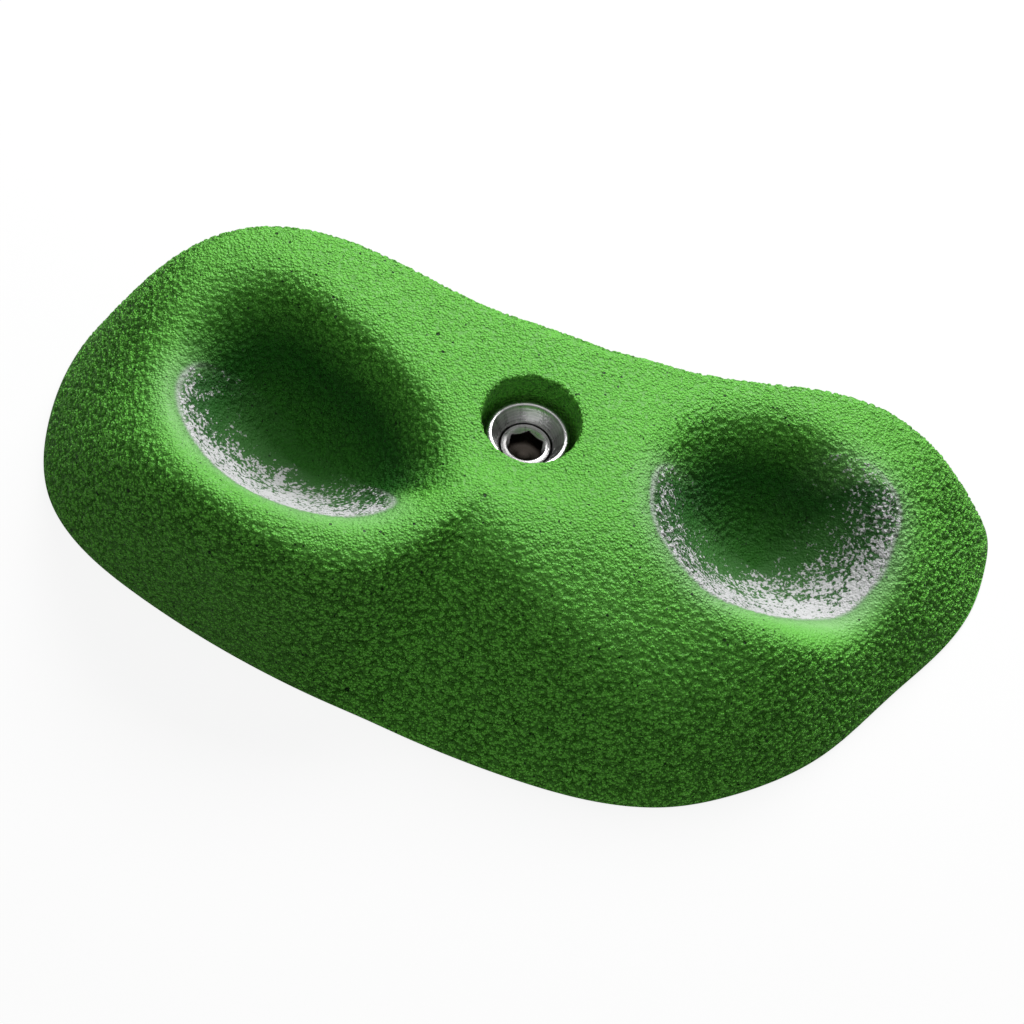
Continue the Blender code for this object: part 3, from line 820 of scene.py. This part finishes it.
class HoldSettings(bpy.types.PropertyGroup):
    """Sizes and colours of the cast resin and of the chalk on it."""

    quad_size: FloatProperty(
        name="Skin's quads", description="Side of the quads that the skin is made of",
        default=0.42 * MM, min=0.3 * MM, unit="LENGTH", precision=5,
    )
    grain_size: FloatProperty(
        name="Grain", description="Width of one grain of the cast surface",
        default=1.05 * MM, min=0.5 * MM, unit="LENGTH", precision=5,
    )
    grain_height: FloatProperty(
        name="Grain's height", description="Height of the grains raised in the mesh",
        default=0.92 * MM, min=0.0, unit="LENGTH", precision=5,
    )
    crown_wear: FloatProperty(
        name="Crown's wear",
        description="How much lower the grain is where the skin faces out",
        default=0.72, min=0.0, max=1.0, subtype="FACTOR",
    )
    lump_grains: FloatProperty(
        name="Lumps", description="Width of the low lumps, counted in grains",
        default=2.2, min=1.0,
    )
    lump_height: FloatProperty(
        name="Lumps' height", description="Height of the low lumps raised in the mesh",
        default=0.07 * MM, min=0.0, unit="LENGTH", precision=5,
    )
    fine_size: FloatProperty(
        name="Fine grain",
        description="Width of the grain that is too fine for the mesh",
        default=0.66 * MM, min=0.1 * MM, unit="LENGTH", precision=5,
    )
    fine_depth: FloatProperty(
        name="Fine grain's depth",
        description="Depth of the grain that is too fine for the mesh",
        default=0.55 * MM, min=0.0, unit="LENGTH", precision=5,
    )
    # Strength of the painted shade in the gaps between the grains
    gap_shade_strength: FloatProperty(
        name="Gaps' darkness", description="How dark the gaps between the grains are",
        default=0.95, min=0.0, max=1.0, subtype="FACTOR",
    )
    pinhole_spacing: FloatProperty(
        name="Pinholes", description="Distance between neighbouring pinholes",
        default=6.0 * MM, min=1 * MM, unit="LENGTH", precision=5,
    )
    resin_colour: FloatVectorProperty(
        name="Resin", description="Colour of the cast resin",
        default=(0.118, 0.500, 0.037), size=3, subtype="COLOR", min=0.0, max=1.0,
    )
    resin_colour_warm: FloatVectorProperty(
        name="Warmer resin", description="Resin where the pigment lies a little warmer",
        default=(0.135, 0.520, 0.046), size=3, subtype="COLOR", min=0.0, max=1.0,
    )
    # Painted shade: near-black colour filling the gaps between grains, the pits and the
    # pinholes
    gap_shade_colour: FloatVectorProperty(
        name="Hollows", description="Resin in the gaps between the grains",
        default=(0.004, 0.040, 0.001), size=3, subtype="COLOR", min=0.0, max=1.0,
    )
    # Painted shade: near-black green that stands in for the shadow deep in the pockets
    pocket_shade_colour: FloatVectorProperty(
        name="Pockets",
        description="Resin that hands have darkened deep in the pockets",
        default=(0.002, 0.078, 0.0), size=3, subtype="COLOR", min=0.0, max=1.0,
    )
    # Painted light: lighter colour on the grains' tips on the steep sides
    tip_light_colour: FloatVectorProperty(
        name="Grain tips",
        description="Colour of the grains' worn tips on the steep sides",
        default=(0.26, 0.74, 0.14), size=3, subtype="COLOR", min=0.0, max=1.0,
    )
    chalk_colour: FloatVectorProperty(
        name="Chalk", description="Colour of the chalk left by fingers",
        default=(0.60, 0.595, 0.61), size=3, subtype="COLOR", min=0.0, max=1.0,
    )


class MetalSettings(bpy.types.PropertyGroup):
    """Sizes and colours of the bolt, the cup washer and the ring."""

    steps: IntProperty(
        name="Turned steps", description="Facets round each turned piece",
        default=96, min=24, step=6,
    )
    thread_pitch: FloatProperty(
        name="Thread's pitch", description="Distance between two turns of the thread",
        default=1.5 * MM, min=0.2 * MM, unit="LENGTH", precision=5,
    )
    thread_length: FloatProperty(
        name="Thread's length", description="How far the thread runs up from the tip",
        default=32 * MM, min=1 * MM, unit="LENGTH", precision=5,
    )
    washer_steel: FloatVectorProperty(
        name="Cup washer", description="Colour of the washer's turned stainless steel",
        default=(0.60, 0.60, 0.60), size=3, subtype="COLOR", min=0.0, max=1.0,
    )
    bolt_steel: FloatVectorProperty(
        name="Bolt", description="Colour of the bolt's stainless steel",
        default=(0.58, 0.57, 0.57), size=3, subtype="COLOR", min=0.0, max=1.0,
    )
    zinc: FloatVectorProperty(
        name="Zinc", description="Colour of the ring's zinc plating",
        default=(0.56, 0.57, 0.58), size=3, subtype="COLOR", min=0.0, max=1.0,
    )


class StageSettings(bpy.types.PropertyGroup):
    """The floor, the lamps and the camera."""

    elevation: FloatProperty(
        name="Camera's elevation", description="Angle of the view above the floor",
        default=math.radians(56), subtype="ANGLE",
    )
    roll: FloatProperty(
        name="Camera's roll", description="Turn of the camera about its own view",
        default=math.radians(13), subtype="ANGLE",
    )
    key_power: FloatProperty(
        name="Key lamp", description="Power of the soft lamp behind the hold",
        default=8.0, min=0.0, unit="POWER",
    )
    overhead_power: FloatProperty(
        name="Overhead lamp", description="Power of the wide soft lamp above the hold",
        default=3.3, min=0.0, unit="POWER",
    )
    room_light: FloatProperty(
        name="Room's light", description="Strength of the even light from all round",
        default=0.11, min=0.0,
    )


class HOLD_OT_resin_skin(bpy.types.Operator):
    """Builds the cast resin body with its grain, its pockets and their chalk"""

    bl_idname = "hold.resin_skin"
    bl_label = "Resin skin"

    def execute(self, context):
        hold = context.scene.hold_resin
        mesh = evened(wrapped_mesh("section_skin", *hold_sections()), hold.quad_size)
        mesh.name = "hold_skin"
        add_foot(mesh)
        add_grain(mesh, hold)
        mesh.materials.clear()
        mesh.materials.append(resin_finish(hold))
        mesh.shade_smooth()
        mesh.set_sharp_from_angle(angle=CAST_SMOOTH)
        show("hold_skin", mesh, "hold", ["hold_body"])
        return {"FINISHED"}


class HOLD_OT_bolt(bpy.types.Operator):
    """Turns the bolt with its hexagon socket and its thread"""

    bl_idname = "hold.bolt"
    bl_label = "Bolt"

    def execute(self, context):
        metal = context.scene.hold_metal
        mesh = turned_mesh("socket_bolt", *bolt_rows(metal))
        # Painted shade inside the socket, from just below the head's face
        socket_shade = (HEAD_FACE_Z - 0.5 * MM, SOCKET_MOUTH_RADIUS)
        mesh.materials.append(turned_finish(
            "bolt_stainless", metal.bolt_steel, BOLT_ROUGHNESS, BOLT_RAYS, socket_shade,
        ))
        show("socket_bolt", mesh, "bolt", ["bolt"])
        return {"FINISHED"}


class HOLD_OT_cup_washer(bpy.types.Operator):
    """Turns the cup washer with its cone"""

    bl_idname = "hold.cup_washer"
    bl_label = "Cup washer"

    def execute(self, context):
        metal = context.scene.hold_metal
        radii, heights = rounded(WASHER_SECTION)
        radii = radii[:, None] + np.zeros(metal.steps)[None, :]
        mesh = turned_mesh("turned_washer", radii, heights + WASHER_FOOT_Z)
        mesh.materials.append(turned_finish(
            "turned_stainless", metal.washer_steel, WASHER_ROUGHNESS, WASHER_RAYS,
        ))
        show("turned_washer", mesh, "washer", ["cup_washer"])
        return {"FINISHED"}


class HOLD_OT_seat_ring(bpy.types.Operator):
    """Gives the moulded steel ring its zinc plating"""

    bl_idname = "hold.seat_ring"
    bl_label = "Seat ring's zinc"

    def execute(self, context):
        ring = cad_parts["seat_ring"]
        finish = zinc_finish(context.scene.hold_metal)
        for slot in ring.material_slots:
            slot.material = finish
        return {"FINISHED"}


class HOLD_OT_stage(bpy.types.Operator):
    """Lays the pale floor, hangs the lamps and sets up the camera"""

    bl_idname = "hold.stage"
    bl_label = "Floor, lamps and camera"

    def execute(self, context):
        scene = context.scene
        stage = scene.hold_stage
        lay_floor()
        camera = link("camera", bpy.data.cameras.new("camera"))
        camera.data.lens = CAMERA_LENS
        camera.data.clip_start = CAMERA_NEAR_LIMIT
        tilt = Matrix.Rotation(math.pi / 2 - stage.elevation, 4, "X")
        turn = Matrix.Rotation(stage.roll, 4, "Z")
        camera.matrix_world = Matrix.Translation(CAMERA_PLACE) @ tilt @ turn
        scene.camera = camera

        hang_lamp("key_lamp", *KEY_LAMP, stage.key_power)
        hang_lamp("overhead_lamp", *OVERHEAD_LAMP, stage.overhead_power)

        world = bpy.data.worlds.new("studio")
        scene.world = world
        world.use_nodes = True
        wire = Wire(world.node_tree)
        shown = seen_directly(wire)
        strength = shown * (1 - stage.room_light) + stage.room_light
        background = world.node_tree.nodes["Background"]
        background.inputs["Color"].default_value = (1, 1, 1, 1)
        world.node_tree.links.new(strength.socket, background.inputs["Strength"])

        scene.view_settings.view_transform = "Standard"
        return {"FINISHED"}


def hang_lamp(name, place, sides, power):
    """Hangs a rectangular soft lamp that faces the hold."""
    lamp = link(name, bpy.data.lights.new(name, "AREA"))
    lamp.data.shape = "RECTANGLE"
    lamp.data.size, lamp.data.size_y = sides
    lamp.data.energy = power
    lamp.location = place
    lamp.rotation_euler = (-lamp.location).to_track_quat("-Z", "Y").to_euler()


def seen_directly(wire):
    """One for rays from the camera and through glass, less off gloss, else nought."""
    camera = wire.node("ShaderNodeLightPath", output=0)
    glossy = wire.node("ShaderNodeLightPath", output=3)
    through = wire.node("ShaderNodeLightPath", output=6)
    return (camera + glossy * GLOSS_SHARE + through).clamped()


def lay_floor():
    """Pale floor with a clearance hole for the bolt, shown nearly white."""
    shape = bmesh.new()
    corners = [shape.verts.new((FLOOR_REACH * sx, FLOOR_REACH * sy, FLOOR_Z))
               for sx, sy in ((-1, -1), (1, -1), (1, 1), (-1, 1))]
    rim = bmesh.ops.create_circle(shape, segments=64, radius=FLOOR_HOLE_RADIUS)["verts"]
    for vert in rim:
        vert.co.z = FLOOR_Z
    for pair in zip(corners, corners[1:] + corners[:1]):
        shape.edges.new(pair)
    bmesh.ops.triangle_fill(shape, edges=shape.edges[:], use_beauty=True)
    mesh = bpy.data.meshes.new("floor")
    shape.to_mesh(mesh)
    shape.free()
    made, shader, wire = new_finish("pale_floor", Roughness=0.9)
    grey = wire.noise(wire.on_piece(), 0.2)
    tone = wire.mix_colours(grey, (0.88, 0.88, 0.88, 1), (0.90, 0.90, 0.90, 1))
    tone = wire.mix_colours(seen_directly(wire), (0.12, 0.12, 0.12, 1), tone)
    feed(shader, tone, "Base Color")
    white = wire.node("ShaderNodeEmission", None, {
        "Color": (1, 1, 1, 1), "Strength": 1.0,
    })
    share = seen_directly(wire) * FLOOR_GLOW
    mixed = wire.node("ShaderNodeMixShader", None, {
        0: share, 1: Wire(wire.tree, shader.outputs[0]), 2: white,
    })
    out = made.node_tree.nodes["Material Output"]
    made.node_tree.links.new(mixed.socket, out.inputs["Surface"])
    mesh.materials.append(made)
    floor = link("floor", mesh)


class VIEW3D_PT_climbing_hold(bpy.types.Panel):
    """Sizes, colours and buttons of the climbing hold"""

    bl_label = "Climbing hold"
    bl_idname = "VIEW3D_PT_climbing_hold"
    bl_space_type = "VIEW_3D"
    bl_region_type = "UI"
    bl_category = "Climbing hold"

    def draw(self, context):
        for settings, operators in PARTS:
            group = getattr(context.scene, settings)
            box = self.layout.box()
            for name in group.__annotations__:
                box.prop(group, name)
            for operator in operators:
                box.operator(operator.bl_idname)


PARTS = (
    ("hold_resin", (HOLD_OT_resin_skin,)),
    ("hold_metal", (HOLD_OT_bolt, HOLD_OT_cup_washer, HOLD_OT_seat_ring)),
    ("hold_stage", (HOLD_OT_stage,)),
)
SETTINGS = {
    "hold_resin": HoldSettings,
    "hold_metal": MetalSettings,
    "hold_stage": StageSettings,
}


def register():
    for name, settings in SETTINGS.items():
        bpy.utils.register_class(settings)
        setattr(bpy.types.Scene, name, PointerProperty(type=settings))
    for settings, operators in PARTS:
        for operator in operators:
            bpy.utils.register_class(operator)
    bpy.utils.register_class(VIEW3D_PT_climbing_hold)


def unregister():
    bpy.utils.unregister_class(VIEW3D_PT_climbing_hold)
    for settings, operators in PARTS:
        for operator in operators:
            bpy.utils.unregister_class(operator)
    for name, settings in SETTINGS.items():
        delattr(bpy.types.Scene, name)
        bpy.utils.unregister_class(settings)


def main():
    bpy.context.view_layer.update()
    register()
    bpy.ops.hold.resin_skin()
    bpy.ops.hold.bolt()
    bpy.ops.hold.cup_washer()
    bpy.ops.hold.seat_ring()
    bpy.ops.hold.stage()


if __name__ == "__main__":
    main()
